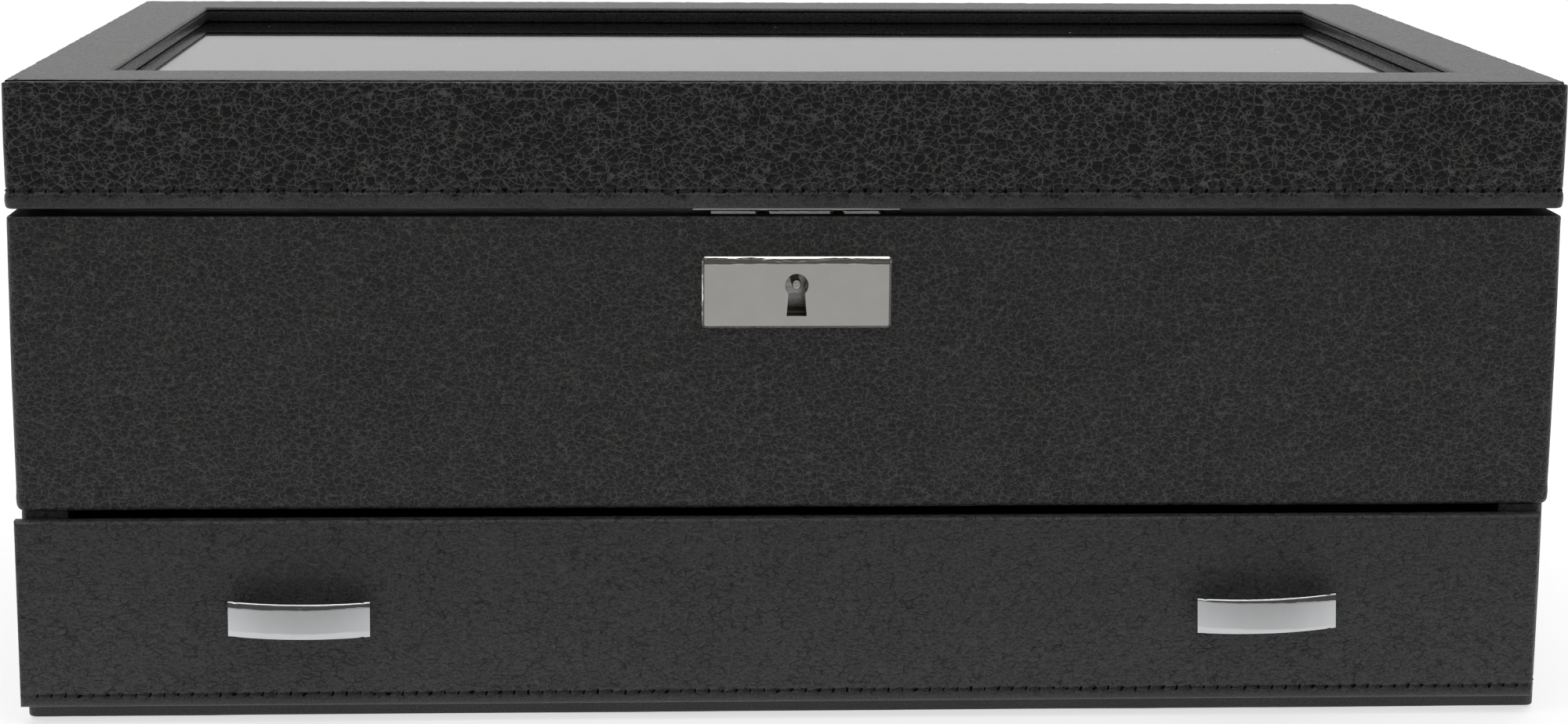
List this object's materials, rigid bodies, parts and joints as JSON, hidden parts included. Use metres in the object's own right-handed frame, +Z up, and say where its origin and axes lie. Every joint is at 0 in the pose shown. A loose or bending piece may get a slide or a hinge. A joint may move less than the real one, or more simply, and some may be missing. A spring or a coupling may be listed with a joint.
{
  "type": "watch box",
  "caption": "Black leather watch box with a hinged glazed lid, cushioned cells, a front lock and a wide drawer with two bowed pulls below.",
  "frame": {"origin": "centre of the case's footprint on the surface it stands on", "axes": "+Z up, +X to the right when facing the lock, the front faces -Y"},
  "size_m": [0.3304, 0.2243, 0.138],
  "materials": {
    "black_leather": "pebbled grain, satin",
    "velour": "short soft pile",
    "wood_core": "black-stained fibreboard and plywood",
    "felt": "pressed felt",
    "chrome": "polished",
    "steel": "bright zinc",
    "glass": "clear float glass"
  },
  "bodies": {
    "case": {"case_front_wall": "wood_core", "case_back_wall": "wood_core", "case_left_wall": "wood_core", "case_right_wall": "wood_core", "case_deck": "wood_core", "case_leather": "black_leather", "compartment_lining": "velour", "floor_pad": "velour", "long_divider": "velour", "cross_dividers": "velour", "rim_bumpers": "felt", "bay_side_walls": "wood_core", "bay_back_wall": "wood_core", "base_panel": "wood_core", "bay_leather": "black_leather", "base_felt": "felt", "drawer_glides": "wood_core", "drawer_stop": "wood_core", "lock_plate": "chrome", "lock_case": "steel", "lock_drill_pin": "steel", "hinge_lower_leaves": "steel", "hinge_pins": "steel", "case_screws": "steel", "cushion_front_1": "velour", "cushion_front_2": "velour", "cushion_front_3": "velour", "cushion_front_4": "velour", "cushion_front_5": "velour", "cushion_front_6": "velour", "cushion_back_1": "velour", "cushion_back_2": "velour", "cushion_back_3": "velour", "cushion_back_4": "velour", "cushion_back_5": "velour", "cushion_back_6": "velour"},
    "lid": {"lid_front_rail": "wood_core", "lid_back_rail": "wood_core", "lid_left_rail": "wood_core", "lid_right_rail": "wood_core", "lid_side_leather": "black_leather", "lid_top_leather": "black_leather", "lid_glass": "glass", "lid_glass_retainer": "velour", "lid_lining": "velour", "strike_plate": "chrome", "hinge_upper_leaves": "steel", "lid_screws": "steel"},
    "lock_bolt": {"lock_bolt": "steel"},
    "drawer": {"drawer_front": "wood_core", "drawer_face_leather": "black_leather", "drawer_left_side": "wood_core", "drawer_right_side": "wood_core", "drawer_back": "wood_core", "drawer_bottom": "wood_core", "drawer_lining": "velour", "drawer_dividers": "velour", "handle_left": "chrome", "handle_right": "chrome", "handle_screws": "steel"}
  },
  "joints": [
    {"name": "lid_hinge", "type": "hinge", "parent": "case", "child": "lid", "pos_m": [0, 0.1072, 0.1102], "axis": [-1, 0, 0], "range_deg": [0, 95]},
    {"name": "drawer_slide", "type": "slide", "parent": "case", "child": "drawer", "axis": [0, -1, 0], "range_m": [0, 0.15]},
    {"name": "lock_bolt_slide", "type": "slide", "parent": "case", "child": "lock_bolt", "axis": [1, 0, 0], "range_m": [0, 0.0035]}
  ]
}
